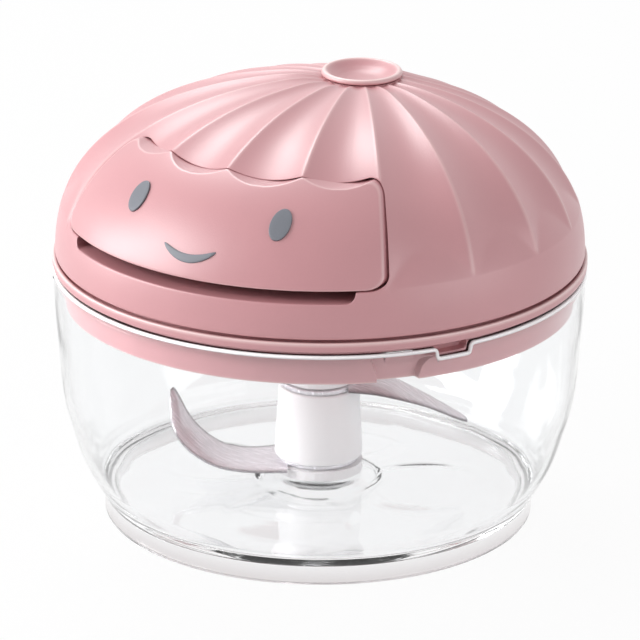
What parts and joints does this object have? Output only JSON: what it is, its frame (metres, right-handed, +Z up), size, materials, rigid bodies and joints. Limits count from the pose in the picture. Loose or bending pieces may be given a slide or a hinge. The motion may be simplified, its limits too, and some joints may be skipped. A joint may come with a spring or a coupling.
{
  "type": "hand-pull vegetable chopper",
  "caption": "Hand-pull food chopper: clear bowl, fluted dome lid with an off-centre crown, front pull handle with a plain smiling face, cord reel inside, column with two curved blades",
  "frame": {"origin": "centre of the foot ring's underside, on the surface the chopper stands on", "axes": "+Z up along the blade shaft, the pull handle faces -Y, +X is to the right seen from the handle"},
  "size_m": [0.1366, 0.1366, 0.1127],
  "materials": {
    "clear_plastic": "clear polished food plastic",
    "pink_plastic": "satin moulded pink plastic",
    "grey_plastic": "satin grey inlay",
    "white_plastic": "satin white plastic",
    "steel": "polished stainless steel",
    "silicone": "soft translucent silicone",
    "cord": "braided nylon"
  },
  "bodies": {
    "bowl": {"bowl": "clear_plastic", "bowl_pin": "steel"},
    "lid_seal": {"lid_seal": "silicone"},
    "lid": {"lid_base": "pink_plastic", "dome_shell": "pink_plastic", "crown_cap": "pink_plastic", "cord_eyelet": "steel", "pull_cord": "cord", "recoil_spring": "steel", "reel_cover": "white_plastic", "reel_axle": "steel", "shaft_bush": "steel", "shaft_seal": "silicone", "cover_screw_1": "steel", "cover_screw_2": "steel", "cover_screw_3": "steel", "cover_screw_4": "steel", "dome_screw_1": "steel", "dome_screw_2": "steel", "dome_screw_3": "steel", "dome_screw_4": "steel"},
    "handle": {"handle_panel": "pink_plastic", "eye_left": "grey_plastic", "eye_right": "grey_plastic", "mouth": "grey_plastic", "cord_knot": "cord", "cord_stop": "white_plastic"},
    "reel": {"reel": "white_plastic", "cord_winding": "cord"},
    "pawl_1": {"pawl_1": "steel"},
    "pawl_2": {"pawl_2": "steel"},
    "drive": {"drive_shaft": "white_plastic", "shaft_clip": "steel"},
    "blades": {"blade_column": "white_plastic", "column_foot": "white_plastic", "drive_socket": "white_plastic", "pivot_bush": "steel", "blade_lower": "steel", "blade_upper": "steel"}
  },
  "joints": [
    {"name": "lid_lift", "type": "slide", "parent": "bowl", "child": "lid_seal", "axis": [0, 0, 1], "range_m": [0, 0.08]},
    {"name": "lid_turn", "type": "hinge", "parent": "lid_seal", "child": "lid", "pos_m": [0, 0, 0.0671], "axis": [0, 0, 1], "range_deg": [-12, 0]},
    {"name": "handle_pull", "type": "slide", "parent": "lid", "child": "handle", "axis": [0, -1, 0], "range_m": [0, 0.32], "stiffness_N_per_m": 12, "springref_m": -0.3, "deforming": ["pull_cord"]},
    {"name": "reel_spin", "type": "hinge", "parent": "lid", "child": "reel", "pos_m": [0, 0, 0.0808], "axis": [0, 0, 1], "continuous": true},
    {"name": "drive_spin", "type": "hinge", "parent": "lid", "child": "drive", "pos_m": [0, 0, 0.0743], "axis": [0, 0, 1], "continuous": true},
    {"name": "blade_spin", "type": "hinge", "parent": "bowl", "child": "blades", "pos_m": [0, 0, 0.0142], "axis": [0, 0, 1], "continuous": true},
    {"name": "pawl_1_swing", "type": "hinge", "parent": "reel", "child": "pawl_1", "pos_m": [0.022, 0, 0.0783], "axis": [0, 0, 1], "range_deg": [-10, 0], "stiffness_Nm_per_rad": 0.002},
    {"name": "pawl_2_swing", "type": "hinge", "parent": "reel", "child": "pawl_2", "pos_m": [-0.022, 0, 0.0783], "axis": [0, 0, 1], "range_deg": [-10, 0], "stiffness_Nm_per_rad": 0.002}
  ],
  "couplings": [
    {"joint": "reel_spin", "follows": "handle_pull", "rad_per_m": 55.556},
    {"joint": "drive_spin", "follows": "handle_pull", "rad_per_m": 55.556},
    {"joint": "blade_spin", "follows": "handle_pull", "rad_per_m": 55.556}
  ]
}
